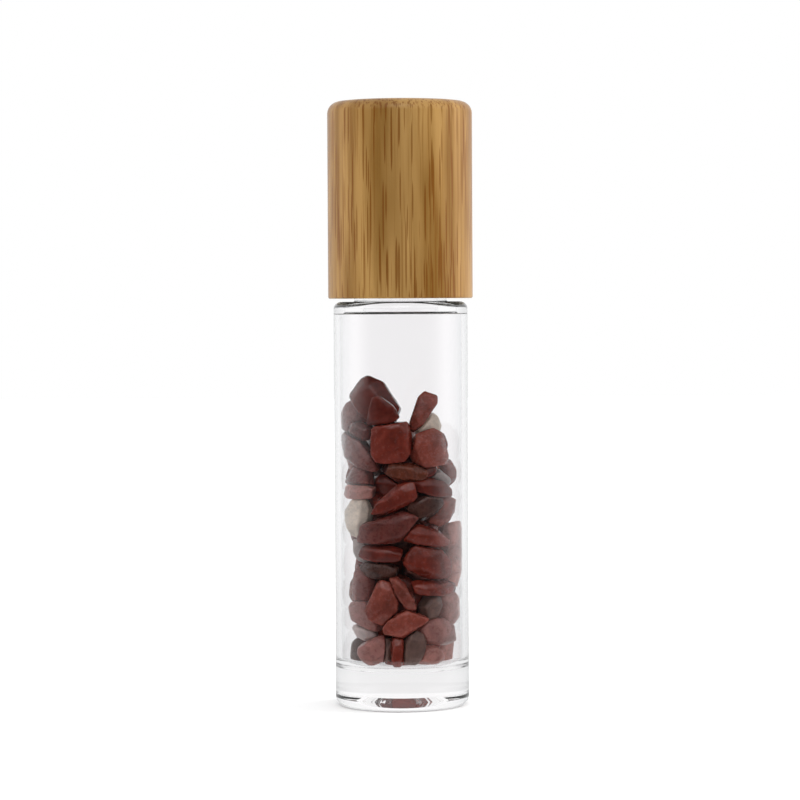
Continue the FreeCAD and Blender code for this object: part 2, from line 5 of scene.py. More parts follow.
import bmesh
import bpy
from bpy.props import FloatProperty, FloatVectorProperty, IntProperty, PointerProperty
from bpy.types import Operator, Panel, PropertyGroup
from mathutils import Euler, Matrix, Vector, noise

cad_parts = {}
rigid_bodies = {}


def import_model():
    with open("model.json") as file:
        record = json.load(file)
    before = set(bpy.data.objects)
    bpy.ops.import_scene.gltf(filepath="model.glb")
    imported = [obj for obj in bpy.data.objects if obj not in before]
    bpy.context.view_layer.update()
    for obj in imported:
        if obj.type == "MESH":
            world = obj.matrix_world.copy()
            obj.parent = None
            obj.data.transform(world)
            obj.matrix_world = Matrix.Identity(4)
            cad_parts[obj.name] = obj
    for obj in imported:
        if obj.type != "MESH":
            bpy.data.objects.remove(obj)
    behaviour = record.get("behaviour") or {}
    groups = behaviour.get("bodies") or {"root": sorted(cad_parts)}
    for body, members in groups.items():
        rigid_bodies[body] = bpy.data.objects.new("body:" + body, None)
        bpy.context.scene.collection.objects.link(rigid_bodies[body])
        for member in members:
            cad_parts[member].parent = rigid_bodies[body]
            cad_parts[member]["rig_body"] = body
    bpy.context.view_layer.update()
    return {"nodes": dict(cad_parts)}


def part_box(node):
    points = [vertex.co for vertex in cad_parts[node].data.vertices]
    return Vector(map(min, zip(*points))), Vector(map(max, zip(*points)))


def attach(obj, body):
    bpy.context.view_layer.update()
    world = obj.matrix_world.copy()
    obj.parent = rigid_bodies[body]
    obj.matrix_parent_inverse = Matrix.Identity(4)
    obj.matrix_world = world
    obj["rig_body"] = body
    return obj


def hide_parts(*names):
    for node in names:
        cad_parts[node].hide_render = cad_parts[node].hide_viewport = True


bl_info = {
    "name": "Roll-on bottle",
    "version": (1, 0, 0),
    "blender": (4, 5, 0),
    "location": "View3D > Sidebar > Roll-on",
    "description": "Dresses a glass roll-on bottle of stone chips with a bamboo screw cap",
    "category": "Object",
}

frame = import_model()
GLASS_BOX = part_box("glass_bottle")
CAP_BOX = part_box("bamboo_cap")
LINER_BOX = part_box("cap_liner")
HOUSING_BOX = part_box("roller_housing")
BALL_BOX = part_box("roller_ball")
SEAL_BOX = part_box("sealing_disc")

MM = 0.001
FULL_TURN = math.tau
ORIGIN = (0, 0, 0)
UP = (0, 0, 1)

# Meshing
TURNED_STEPS = 160
ROUND_STEPS = 7
ROUND_PROFILE = 0.5
SHARP_ANGLE = math.radians(32)
LARGE_FACES_FIRST = 100
MERGE = 1e-7
CAD_MERGE = MERGE * 10
BALL_SUBDIVISIONS = 5

# Edges of the turned and moulded pieces
FINE_EDGE = 0.1 * MM
SMALL_EDGE = 0.15 * MM
EDGE = 0.2 * MM
SOFT_EDGE = 0.25 * MM
WIDE_EDGE = 0.3 * MM

# Glass: the hollow under the base, the large roundings, and ripples round the hollow's sloping flank
PUSH_UP = 1.6 * MM
PUSH_UP_R = 3.6 * MM
FOOT_R = 5.5 * MM
HEEL_ROUND = 1.5 * MM
SHOULDER_ROUND = 1.1 * MM
FLOOR_ROUND = 1.9 * MM
RIPPLES = 36
RIPPLE_DEPTH = 0.02 * MM
RIPPLE_MARGIN = 0.05 * MM
RIPPLE_HEADROOM = 0.01 * MM

# Threads of the neck and the liner
THREAD_PITCH = 3.0 * MM
THREAD_TURNS = 1.5
THREAD_START = 3.6 * MM
THREAD_DEPTH = 0.8 * MM
THREAD_SINK = 0.2 * MM
THREAD_BASE = 1.4 * MM
THREAD_CREST = 0.7 * MM
THREAD_ROUND = 0.15 * MM
THREAD_ROUND_STEPS = 3
RUN_OUT = 0.10

# Roller housing: plug with its beads, collar on the rim, cup and lip round the ball
FEED_R = 3.0 * MM
WEB_HEIGHT = 2.3 * MM
SKIRT_WALL = 0.8 * MM
PLUG_PLAY = 0.05 * MM
BALL_PLAY = 0.05 * MM
BEADS = (2.2 * MM, 4.4 * MM)
BEAD_HALF = 0.4 * MM
BEAD_BITE = 0.06 * MM
SEAT_GAP = 0.005 * MM
COLLAR_INSET = 0.1 * MM
COLLAR_HEIGHT = 1.2 * MM
CUP_WALL = 1.0 * MM
CUP_STEPS = 14
LIP_WIDTH = 0.6 * MM
HOUSING_ROUGHNESS = 0.30

# Cap: liner, and bamboo whose bore and lower edge are raw
LINER_WALL = 0.9 * MM
LINER_ROOF = 1.2 * MM
LINER_ROUGHNESS = 0.34
GLUE_GAP = 0.05 * MM
CAP_TOP_ROUND = 1.8 * MM
BORE_MARGIN = 0.05 * MM
BORE_DEPTH_FROM_TOP = 2 * MM
FACES_DOWN = -0.9


# Sizes and colours

def length(name, description, default):
    """A size in metres that a user may change."""
    return FloatProperty(
        name=name, description=description, default=default, min=0.0, unit="LENGTH", precision=5,
    )


def tint(name, description, default):
    """A colour that a user may change."""
    return FloatVectorProperty(
        name=name, description=description, default=default, subtype="COLOR", min=0.0, max=1.0,
    )


def share(name, description, default, most=1.0):
    """A plain number from nought up."""
    return FloatProperty(name=name, description=description, default=default, min=0.0, max=most)


def power(name, description, default):
    """A lamp's power in watts."""
    return FloatProperty(name=name, description=description, default=default, unit="POWER")


class ROLLON_glass(PropertyGroup):
    barrel: length("Barrel radius", "Outside of the glass barrel", GLASS_BOX[1].x)
    shoulder: length("Shoulder height", "Flat of the shoulder above the floor", 60.3 * MM)
    rim: length("Rim height", "Top of the neck above the floor", GLASS_BOX[1].z)
    wall: length("Wall", "Glass of the barrel", 0.9 * MM)
    shoulder_wall: length("Shoulder wall", "Glass of the shoulder round the neck", 1.75 * MM)
    base: length("Base", "Inner floor of the glass above the floor it stands on", 5.6 * MM)
    neck: length("Neck radius", "Outside of the neck between its threads", 6.9 * MM)
    neck_bore: length("Neck bore radius", "Inside of the neck", 5.6 * MM)
    colour: tint("Glass", "Tint of the clear glass seen straight on", (1.0, 0.993, 1.0))
    # Painted shade: the glass's colour greys towards this where it turns away.
    edge: tint("Glass edge", "Tint of the glass where it turns away", (0.62, 0.65, 0.66))


class ROLLON_cap(PropertyGroup):
    outside: length("Cap radius", "Outside of the bamboo", CAP_BOX[1].x)
    lower: length("Lower edge", "Cap's lower edge above the floor", CAP_BOX[0].z)
    top: length("Top", "Cap's top above the floor", CAP_BOX[1].z)
    bore: length("Bore radius", "Bore for the liner", 8.9 * MM)
    straw: tint("Straw", "Pale bamboo between the fibres", (0.365, 0.205, 0.060))
    tan: tint("Tan", "Darker bamboo", (0.200, 0.095, 0.015))
    fibre: tint("Fibre bundles", "Dark streaks along the cap", (0.160, 0.055, 0.002))
    raw: tint("Raw end", "Cut bamboo under the cap, which has no lacquer", (0.80, 0.74, 0.62))
    liner: tint("Liner", "Moulded liner in the cap", (0.80, 0.79, 0.76))
    foam: tint("Sealing disc", "Foamed disc over the ball", (0.86, 0.86, 0.83))


class ROLLON_roller(PropertyGroup):
    steel: tint("Ball", "Polished steel ball", (0.66, 0.665, 0.67))
    housing: tint("Housing", "Moulded roller housing", (0.78, 0.79, 0.78))


class ROLLON_stones(PropertyGroup):
    grain: length("Grain", "Mesh size of a chip", 0.14 * MM)
    rounding: IntProperty(name="Rounding", description="Passes that round a chip's edges", default=4, min=1)
    swell: length("Swell", "How far a chip fills the gap that the CAD leaves round it", 0.06 * MM)
    dents: length("Dents", "Depth of the hollows in a chip's faces", 0.07 * MM)
    brick: tint("Brick", "Brick-red jasper", (0.205, 0.025, 0.0125))
    red: tint("Red", "Bright red jasper", (0.300, 0.062, 0.040))
    maroon: tint("Maroon", "Dark red jasper", (0.150, 0.0170, 0.0090))
    mauve: tint("Mauve", "Grey-red jasper", (0.170, 0.034, 0.025))
    rose: tint("Rose", "Grey-pink jasper", (0.350, 0.140, 0.120))
    pink: tint("Pink", "Pale red jasper", (0.520, 0.215, 0.180))
    rust: tint("Rust", "Orange-brown jasper", (0.215, 0.050, 0.023))
    cream: tint("Cream", "Cream chips", (0.82, 0.70, 0.58))
    grey: tint("Grey", "Grey chips", (0.50, 0.405, 0.385))
    olive: tint("Olive", "Grey-brown chips", (0.155, 0.084, 0.067))
    brown: tint("Brown", "Dark brown chips", (0.078, 0.024, 0.015))


class ROLLON_stage(PropertyGroup):
    floor: tint("Floor", "Pale floor", (0.86, 0.86, 0.86))
    lift: share("White floor", "Light that lifts the floor to white for the eye", 0.11)
    ambient: share("Ambient", "Strength of the even light", 0.85, 4.0)
    behind: share("White backdrop", "Strength of the backdrop seen in the glass and through it", 1.0)
    # Also the level of the painted shade on the floor in front, as seen in the glass.
    dark: share("Dark side", "Share of the light that comes from behind the camera", 0.02)
    key_power: power("Key lamp", "Power of the lamp over the camera", 0.7)
    left_power: power("Left lamp", "Power of the left lamp", 1.5)
    right_power: power("Right lamp", "Power of the right lamp", 2.8)
    lens: FloatProperty(name="Lens", description="Focal length", default=144.1, unit="CAMERA")
    distance: length("Camera distance", "Camera to the bottle's axis", 478 * MM)
    height: length("Camera height", "Camera above the floor", 60.5 * MM)


GROUPS = {
    "rollon_glass": ROLLON_glass,
    "rollon_cap": ROLLON_cap,
    "rollon_roller": ROLLON_roller,
    "rollon_stones": ROLLON_stones,
    "rollon_stage": ROLLON_stage,
}


# Meshes

def turned(points, closed):
    """A half section of (radius, height, rounding) points, rounded and turned once round the axis."""
    piece = bmesh.new()
    corners = [piece.verts.new((radius, 0.0, height)) for radius, height, _ in points]
    for first, second in zip(corners, corners[1:]):
        piece.edges.new((first, second))
    if closed:
        piece.edges.new((corners[-1], corners[0]))
    for corner, (_, _, rounding) in zip(corners, points):
        if rounding:
            bmesh.ops.bevel(
                piece, geom=[corner], offset=rounding, offset_type="OFFSET", affect="VERTICES",
                segments=ROUND_STEPS, profile=ROUND_PROFILE, material=-1,
            )
    bmesh.ops.spin(
        piece, geom=piece.verts[:] + piece.edges[:], cent=ORIGIN, axis=UP, dvec=ORIGIN,
        angle=FULL_TURN, steps=TURNED_STEPS, use_merge=True, use_duplicate=False,
    )
    bmesh.ops.remove_doubles(piece, verts=piece.verts, dist=MERGE)
    bmesh.ops.recalc_face_normals(piece, faces=piece.faces)
    return piece


def ripple_flank(piece):
    """Ripples the sloping flank of the hollow under the vial, clear of its two edges."""
    for vert in piece.verts:
        radius = math.hypot(vert.co.x, vert.co.y)
        on_flank = PUSH_UP_R + RIPPLE_MARGIN < radius < FOOT_R - RIPPLE_MARGIN
        if on_flank and vert.co.z < PUSH_UP - RIPPLE_HEADROOM:
            ripple = 1 + RIPPLE_DEPTH / radius * math.sin(RIPPLES * math.atan2(vert.co.y, vert.co.x))
            vert.co.x *= ripple
            vert.co.y *= ripple


def thread(root, crest, start):
    """A screw thread's ridge between two radii, whose ends run out into the wall."""
    ridge = bmesh.new()
    half_base = THREAD_BASE / 2
    half_crest = THREAD_CREST / 2
    section = ((root, -half_base), (crest, -half_crest), (crest, half_crest), (root, half_base))
    corners = [ridge.verts.new((radius, 0.0, start + height)) for radius, height in section]
    ridge.faces.new(corners)
    bmesh.ops.bevel(
        ridge, geom=corners[1:3], offset=THREAD_ROUND, offset_type="OFFSET", affect="VERTICES",
        segments=THREAD_ROUND_STEPS, profile=ROUND_PROFILE, material=-1,
    )
    steps = round(THREAD_TURNS * TURNED_STEPS)
    bmesh.ops.spin(
        ridge, geom=ridge.verts[:] + ridge.edges[:] + ridge.faces[:], cent=ORIGIN, axis=UP,
        dvec=(0, 0, THREAD_TURNS * THREAD_PITCH / steps), angle=THREAD_TURNS * FULL_TURN, steps=steps,
        use_merge=False, use_duplicate=False,
    )
    bmesh.ops.recalc_face_normals(ridge, faces=ridge.faces)
    for vert in ridge.verts:
        turn = math.atan2(vert.co.y, vert.co.x) / FULL_TURN
        turn += round((vert.co.z - start) / THREAD_PITCH - turn)
        swell = min(1.0, max(0.0, min(turn, THREAD_TURNS - turn) / RUN_OUT))
        radius = math.hypot(vert.co.x, vert.co.y)
        wanted = root + (radius - root) * swell
        vert.co.x *= wanted / radius
        vert.co.y *= wanted / radius
    return ridge


def as_mesh(name, piece):
    """The mesh of a bmesh, which is freed."""
    mesh = bpy.data.meshes.new(name)
    piece.to_mesh(mesh)
    piece.free()
    return mesh


def as_object(name, piece):
    """A new object with the mesh of a bmesh, in the scene."""
    made = bpy.data.objects.new(name, as_mesh(name, piece))
    bpy.context.scene.collection.objects.link(made)
    return made


def discard(made):
    """Removes an object and its mesh."""
    mesh = made.data
    bpy.data.objects.remove(made)
    bpy.data.meshes.remove(mesh)


def finished_mesh(made):
    """The object's mesh with its modifiers applied; the object is removed."""
    ready = made.evaluated_get(bpy.context.evaluated_depsgraph_get())
    mesh = bpy.data.meshes.new_from_object(ready)
    discard(made)
    return mesh


def joined(name, piece, ridge):
    """The turned piece and its thread as one solid."""
    base = as_object(name + ".turned", piece)
    tool = as_object(name + ".thread", ridge)
    union = base.modifiers.new("thread", "BOOLEAN")
    union.operation = "UNION"
    union.solver = "EXACT"
    union.object = tool
    mesh = finished_mesh(base)
    discard(tool)
    return mesh


def place(name, mesh, finishes, node):
    """Puts a finished piece on its body in place of its CAD node."""
    mesh.name = name
    mesh.polygons.foreach_set("use_smooth", [True] * len(mesh.polygons))
    mesh.set_sharp_from_angle(angle=SHARP_ANGLE)
    for finish in finishes:
        mesh.materials.append(finish)
    piece = bpy.data.objects.new(name, mesh)
    bpy.context.scene.collection.objects.link(piece)
    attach(piece, frame["nodes"][node]["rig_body"])
    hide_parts(node)
    return piece


def even_normals(piece):
    """Lets the large faces set the shading, so that flats stay flat beside their roundings."""
    weighted = piece.modifiers.new("even_normals", "WEIGHTED_NORMAL")
    weighted.mode = "FACE_AREA"
    weighted.weight = LARGE_FACES_FIRST
    weighted.keep_sharp = True


# Materials

EVEN = (1.0, 1.0, 1.0)
# Sockets of a mix node that mixes colours: its factor and its two colours, and its result.
MIX_INPUTS = (0, 6, 7)
MIX_OUTPUT = 2


class Graph:
    """A node tree, with short ways to add its nodes."""

    def __init__(self, tree):
        self.nodes = tree.nodes
        self.links = tree.links

    def put(self, socket, value):
        """Links a socket to another, or sets it to a number or a colour."""
        if isinstance(value, bpy.types.NodeSocket):
            self.links.new(value, socket)
        elif socket.type == "RGBA" and len(value) == 3:
            socket.default_value = (*value, 1.0)
        else:
            socket.default_value = value

    def add(self, kind, **sockets):
        """A node with its sockets put; a socket's name has underscores for spaces."""
        made = self.nodes.new(kind)
        for name, value in sockets.items():
            self.put(made.inputs[name.replace("_", " ")], value)
        return made

    def math(self, operation, *values):
        """The result of a sum on numbers or sockets."""
        made = self.nodes.new("ShaderNodeMath")
        made.operation = operation
        for socket, value in zip(made.inputs, values):
            self.put(socket, value)
        return made.outputs[0]

    def eased(self, value, start, end, first, last):
        """A value that goes from first to last, softly, as another goes from start to end."""
        made = self.nodes.new("ShaderNodeMapRange")
        made.interpolation_type = "SMOOTHSTEP"
        for socket, setting in zip(made.inputs, (value, start, end, first, last)):
            self.put(socket, setting)
        return made.outputs[0]

    def ways(self, source):
        """The three parts of a direction or place."""
        whole = self.add("ShaderNodeTexCoord").outputs[source]
        return self.add("ShaderNodeSeparateXYZ", Vector=whole).outputs

    def mirrored(self, path):
        """One for a ray that was mirrored or went through glass."""
        return self.math("MAXIMUM", path["Is Glossy Ray"], path["Is Transmission Ray"])

    def reflected(self, path):
        """One for a ray that was mirrored on its way, as by a wall of the glass."""
        return self.math("MINIMUM", path["Glossy Depth"], 1.0)


class Finish(Graph):
    """One material, on the object's coordinates."""

    def __init__(self, name):
        self.material = bpy.data.materials.new(name)
        self.material.use_nodes = True
        super().__init__(self.material.node_tree)
        self.shader = self.nodes["Principled BSDF"]
        self.place = self.nodes.new("ShaderNodeTexCoord").outputs["Object"]

    def stretched(self, scale, shift=(0.0, 0.0, 0.0), turn=(0.0, 0.0, 0.0)):
        """The object's coordinates, scaled and moved for one pattern."""
        made = self.add("ShaderNodeMapping", Vector=self.place, Location=shift, Rotation=turn, Scale=scale)
        return made.outputs[0]

    def clouds(self, spot, scale, detail=4.0, roughness=0.55, distortion=0.0):
        """Soft noise."""
        made = self.add("ShaderNodeTexNoise", Vector=spot, Scale=scale, Detail=detail, Roughness=roughness,
                        Distortion=distortion)
        return made.outputs["Fac"]

    def cells(self, spot, scale):
        """Distance to the nearest of scattered points."""
        return self.add("ShaderNodeTexVoronoi", Vector=spot, Scale=scale).outputs["Distance"]

    def layer(self, name):
        """A value that the mesh holds at each of its points."""
        made = self.nodes.new("ShaderNodeAttribute")
        made.attribute_name = name
        return made.outputs["Color"]

    def ramp(self, source, *stops):
        """A colour ramp; each stop is (place, colour or grey)."""
        made = self.add("ShaderNodeValToRGB", Fac=source)
        points = made.color_ramp.elements
        while len(points) < len(stops):
            points.new(1.0)
        for point, (spot, colour) in zip(points, stops):
            point.position = spot
            point.color = (*colour, 1.0) if hasattr(colour, "__len__") else (colour, colour, colour, 1.0)
        return made.outputs["Color"]

    def mixed(self, factor, first, second, blend="MIX"):
        """Two colours mixed by a factor."""
        made = self.nodes.new("ShaderNodeMix")
        made.data_type = "RGBA"
        made.blend_type = blend
        for index, value in zip(MIX_INPUTS, (factor, first, second)):
            self.put(made.inputs[index], value)
        return made.outputs[MIX_OUTPUT]

    def relief(self, height, depth, strength=1.0):
        """Bump on the shader's normal."""
        made = self.add("ShaderNodeBump", Height=height, Strength=strength, Distance=depth)
        self.put(self.shader.inputs["Normal"], made.outputs["Normal"])

    def set(self, **sockets):
        """Sets or links sockets of the shader."""
        for name, value in sockets.items():
            self.put(self.shader.inputs[name.replace("_", " ")], value)


def shaded(colour, factor):
    """A colour made darker by a factor."""
    return tuple(factor * part for part in colour)


# Shares of the middle's tint and of the painted edge shade where the glass begins to turn away.
TURNING_SHARES = (0.6, 0.4)


def clear_glass(colour, edge):
    """Clear pressed glass: faint waves in its surface, and painted shade that greys it where it turns away."""
    finish = Finish("clear_glass")
    facing = finish.add("ShaderNodeLayerWeight", Blend=0.5).outputs["Facing"]
    of_middle, of_edge = TURNING_SHARES
    turning_shade = tuple(of_middle * middle + of_edge * side for middle, side in zip(colour, edge))
    # Painted shade: the colour greys towards the edge tint as the glass turns away from the view.
    finish.set(Base_Color=finish.ramp(facing, (0.0, colour), (0.30, colour), (0.62, turning_shade), (0.92, edge)),
               Transmission_Weight=1.0, Roughness=0.0, IOR=1.5)
    waves = finish.clouds(finish.stretched((1.0, 1.0, 0.35)), scale=170.0, detail=1.0)
    finish.relief(waves, depth=0.02 * MM, strength=0.006)
    return finish.material


# Sets of fibre bundles in the bamboo: scale, draw along the cap, shift, and the distances from a bundle's middle
# at which its dark core ends and its edge has faded.
FIBRE_BUNDLES = (
    (1300.0, 0.045, (0.9, 0.3, 0.2), 0.21, 0.26),
    (1500.0, 0.034, (0.2, 0.5, 0.9), 0.20, 0.25),
    (1700.0, 0.026, (0.6, 0.8, 0.4), 0.20, 0.26),
    (1900.0, 0.038, (0.3, 0.2, 0.7), 0.20, 0.26),
)
BUNDLE_SINK = 0.6


def bamboo(straw, tan, fibre):
    """Lacquered bamboo: long grain along the cap, dark fibre bundles, and their ends as dots on the top."""
    finish = Finish("bamboo")
    broad = finish.stretched((1.0, 1.0, 0.10), shift=(0.4, 0.1, 0.0))
    zones = finish.clouds(broad, scale=240.0, detail=2.0)
    long = finish.stretched((1.0, 1.0, 0.015), shift=(0.1, 0.7, 0.0))
    grain = finish.clouds(long, scale=3400.0, detail=2.0, roughness=0.6)
    pale = finish.mixed(finish.ramp(zones, (0.38, 0.0), (0.62, 1.0)), tan, straw)
    lines = finish.ramp(grain, (0.36, 0.50), (0.48, 0.0))
    colour = finish.mixed(lines, pale, fibre)
    dense = finish.ramp(zones, (0.45, 1.0), (0.65, 0.5))
    for scale, draw, shift, core, edge in FIBRE_BUNDLES:
        bundles = finish.cells(finish.stretched((1.0, 1.0, draw), shift=shift), scale)
        mask = finish.math("MULTIPLY", finish.ramp(bundles, (core, 1.0), (edge, 0.0)), dense)
        colour = finish.mixed(mask, colour, fibre)
    finish.set(Base_Color=colour, Roughness=finish.ramp(grain, (0.3, 0.32), (0.7, 0.42)),
               Specular_IOR_Level=0.18, Coat_Weight=0.2, Coat_Roughness=0.28)
    # Only the last set of bundles lies lower than the grain.
    sunk = finish.math("MULTIPLY", mask, BUNDLE_SINK)
    finish.relief(finish.math("SUBTRACT", grain, sunk), depth=0.03 * MM, strength=0.5)
    return finish.material


def raw_bamboo(colour):
    """Sawn bamboo without lacquer, with the ends of its fibre bundles."""
    finish = Finish("raw_bamboo")
    ends = finish.cells(finish.stretched((1.0, 1.0, 0.05)), scale=1500.0)
    finish.set(Base_Color=finish.ramp(ends, (0.15, shaded(colour, 0.7)), (0.35, colour)), Roughness=0.7)
    finish.relief(ends, depth=0.03 * MM, strength=0.5)
    return finish.material


def moulded(name, colour, roughness):
    """Moulded plastic that lets a little light in, with a fine spark-eroded skin."""
    finish = Finish(name)
    cloudy = finish.clouds(finish.stretched(EVEN), scale=300.0, detail=3.0)
    finish.set(Base_Color=finish.ramp(cloudy, (0.35, shaded(colour, 0.93)), (0.65, colour)),
               Roughness=finish.ramp(cloudy, (0.3, roughness), (0.7, roughness + 0.12)),
               Subsurface_Weight=0.25, Subsurface_Radius=(1.0, 1.0, 0.9), Subsurface_Scale=0.6 * MM, IOR=1.49)
    skin = finish.clouds(finish.stretched(EVEN), scale=9000.0, detail=2.0)
    finish.relief(skin, depth=0.006 * MM, strength=0.5)
    return finish.material


def foamed(colour):
    """Closed-cell foam."""
    finish = Finish("seal_foam")
    cells = finish.cells(finish.stretched(EVEN), scale=3200.0)
    finish.set(Base_Color=finish.ramp(cells, (0.1, colour), (0.7, shaded(colour, 0.86))), Roughness=0.75,
               Subsurface_Weight=0.3, Subsurface_Radius=(1.0, 1.0, 1.0), Subsurface_Scale=0.5 * MM)
    finish.relief(cells, depth=0.05 * MM, strength=0.6)
    return finish.material


def steel(colour):
    """Polished steel with hair scratches and a faint bloom."""
    finish = Finish("ball_steel")
    bloom = finish.clouds(finish.stretched(EVEN), scale=420.0, detail=5.0)
    drawn = finish.stretched((1.0, 0.06, 0.4), turn=(0.4, 0.7, 0.2))
    scratches = finish.clouds(drawn, scale=6000.0, detail=2.0)
    finish.set(Base_Color=finish.ramp(bloom, (0.35, shaded(colour, 0.9)), (0.6, colour)), Metallic=1.0,
               Roughness=finish.ramp(bloom, (0.35, 0.06), (0.7, 0.16)))
    finish.relief(scratches, depth=0.002 * MM, strength=0.3)
    return finish.material


# A stone's dark parts, and its pale parts, whose colour also serves the painted highlight on its edges: a factor
# on its colour, and what is added to that.
DEEP_FACTOR = 0.55
PALE_AND_EDGE_HIGHLIGHT_FACTOR = 1.35
PALE_AND_EDGE_HIGHLIGHT = (0.030, 0.017, 0.014)
# How far apart the patterns of two kinds of stone may start.
PATTERN_SPAN = 5.0


def stone(name, colour, roughness):
    """Tumbled stone: clouded body, darker patches, pale specks, hairline veins, and a painted highlight that makes
    its sharp edges paler.
    """
    finish = Finish(name)
    seed = random.Random(name)
    shift = tuple(seed.uniform(0.0, PATTERN_SPAN) for _ in range(3))
    spot = finish.stretched(EVEN, shift=shift)
    deep = shaded(colour, DEEP_FACTOR)
    pale = tuple(PALE_AND_EDGE_HIGHLIGHT_FACTOR * part + light for part, light in zip(colour, PALE_AND_EDGE_HIGHLIGHT))
    clouded = finish.clouds(spot, scale=330.0, detail=5.0, roughness=0.6, distortion=0.6)
    body = finish.ramp(clouded, (0.30, deep), (0.50, colour), (0.80, pale))
    mottle = finish.clouds(spot, scale=1500.0, detail=4.0, roughness=0.65)
    body = finish.mixed(finish.ramp(mottle, (0.38, 0.4), (0.54, 0.0)), body, deep)
    specks = finish.clouds(spot, scale=5200.0, detail=1.0)
    body = finish.mixed(finish.ramp(specks, (0.66, 0.0), (0.76, 0.5)), body, pale)
    vein_field = finish.clouds(spot, scale=420.0, detail=3.0, distortion=1.6)
    ridge = finish.math("ABSOLUTE", finish.math("SUBTRACT", vein_field, 0.5))
    body = finish.mixed(finish.ramp(ridge, (0.0, 0.35), (0.012, 0.0)), body, pale)
    # Painted highlight: the sharp convex edges turn paler.
    body = finish.mixed(finish.ramp(finish.layer("worn"), (0.3, 0.0), (1.0, 0.55)), body, pale)
    finish.set(Base_Color=finish.mixed(1.0, body, finish.layer("tone"), "MULTIPLY"),
               Roughness=finish.ramp(mottle, (0.35, roughness), (0.65, roughness + 0.14)),
               IOR=1.54, Specular_IOR_Level=0.35)
    finish.relief(finish.math("ADD", mottle, specks), depth=0.012 * MM, strength=0.5)
    return finish.material


# Chips

STONE_ROUGHNESS = {
    "brick": 0.16,
    "maroon": 0.13,
    "red": 0.18,
    "mauve": 0.22,
    "rose": 0.24,
    "pink": 0.24,
    "rust": 0.18,
    "cream": 0.28,
    "grey": 0.28,
    "olive": 0.28,
    "brown": 0.22,
}
# The finish of each chip against the front of the glass, by its number.
FRONT_FINISHES = {
    "brick": (7, 18, 23, 27, 30, 41),
    "maroon": (1, 3, 12, 15, 16, 25),
    "red": (4, 8, 20, 31, 32, 36),
    "mauve": (2, 6, 9, 13, 22, 29),
    "rose": (10, 35, 37, 42),
    "pink": (17, 26, 34, 43),
    "rust": (11,),
    "cream": (5, 21),
    "grey": (14, 24, 38),
    "olive": (33, 39, 40),
    "brown": (19, 28),
}
# Front chips that are rounded as much as the rear ones, and how many times the passes that takes.
ROUND_CHIPS = (1, 2, 13, 22, 23, 25, 27, 34)
ROUNDER = 4
# Finishes of the rear chips: how many a row has, and how far along the list the next row starts.
REAR_FINISHES = ("brick", "brick", "mauve", "maroon", "pink", "brick", "mauve", "rust", "brown")
FINISHES_IN_ROW = 8
ROW_STEP = 4
# How far a pass moves a point towards its neighbours.
SMOOTHING = 0.5
# Height of a point over its neighbours at a sharp edge, as a share of the grain, at which the painted edge
# highlight is full.
SHARP_HUMP = 0.12
# Spread of the chips' brightness.
TONE_SPAN = (0.82, 1.18)
# Noise of the dents, to the millimetre: its coarse and fine scale, the fine noise's share, the level under which a
# dent begins, and the step from one chip's noise to the next.
DENT_SCALE = 0.55
FINE_DENT_SCALE = 1.7
FINE_DENT_SHARE = 0.3
DENT_LEVEL = 0.35
DENT_SHIFT = (1.7, 0.9, 2.3)
CHIP_SEEDS = 97


def stone_finish(name):
    """The material of one kind of stone, made at its first use."""
    found = bpy.data.materials.get(f"stone_{name}")
    colour = tuple(getattr(bpy.context.scene.rollon_stones, name))
    return found or stone(f"stone_{name}", colour, STONE_ROUGHNESS[name])


def chip_bodies(node):
    """The separate solids of a CAD node, each as a merged bmesh."""
    whole = bmesh.new()
    whole.from_mesh(frame["nodes"][node].data)
    bmesh.ops.remove_doubles(whole, verts=whole.verts, dist=CAD_MERGE)
    whole.faces.index_update()
    waiting = set(whole.faces)
    bodies = []
    while waiting:
        island = set()
        edge_of_island = [min(waiting, key=lambda face: face.index)]
        while edge_of_island:
            face = edge_of_island.pop()
            if face in island:
                continue
            island.add(face)
            for edge in face.edges:
                edge_of_island.extend(near for near in edge.link_faces if near not in island)
        waiting -= island
        kept = {face.index for face in island}
        body = whole.copy()
        bmesh.ops.delete(body, geom=[face for face in body.faces if face.index not in kept], context="FACES")
        bodies.append(body)
    whole.free()
    return bodies


def tumbled(body, sizes, passes, seed):
    """A chip with rounded edges and shallow dents; it keeps how far its edges stand out, for a painted highlight,
    and its tone as layers for its finish.
    """
    rough = as_object("chip.rough", body)
    remesh = rough.modifiers.new("grain", "REMESH")
    remesh.mode = "VOXEL"
    remesh.voxel_size = sizes.grain
    mesh = finished_mesh(rough)
    chip = bmesh.new()
    chip.from_mesh(mesh)
    bpy.data.meshes.remove(mesh)
    for _ in range(passes):
        bmesh.ops.smooth_vert(
            chip, verts=chip.verts, factor=SMOOTHING, use_axis_x=True, use_axis_y=True, use_axis_z=True,
        )
    chip.normal_update()
    worn = chip.verts.layers.float.new("worn")
    tone = chip.verts.layers.float.new("tone")
    shade = random.Random(seed).uniform(*TONE_SPAN)
    shift = Vector([seed * step for step in DENT_SHIFT])
    for vert in chip.verts:
        near = [edge.other_vert(vert).co for edge in vert.link_edges]
        hump = (vert.co - sum(near, Vector()) / len(near)).dot(vert.normal)
        # Painted highlight: how far a point stands out of its neighbours, which pales the edges in the finish.
        vert[worn] = min(1.0, max(0.0, hump / (SHARP_HUMP * sizes.grain)))
        vert[tone] = shade
    for vert in chip.verts:
        spot = vert.co / MM
        coarse = noise.noise(spot * DENT_SCALE + shift)
        fine = noise.noise(spot * FINE_DENT_SCALE + shift)
        dent = coarse - DENT_LEVEL + FINE_DENT_SHARE * fine
        vert.co += vert.normal * (sizes.swell + min(dent, 0.0) * sizes.dents)
    return chip


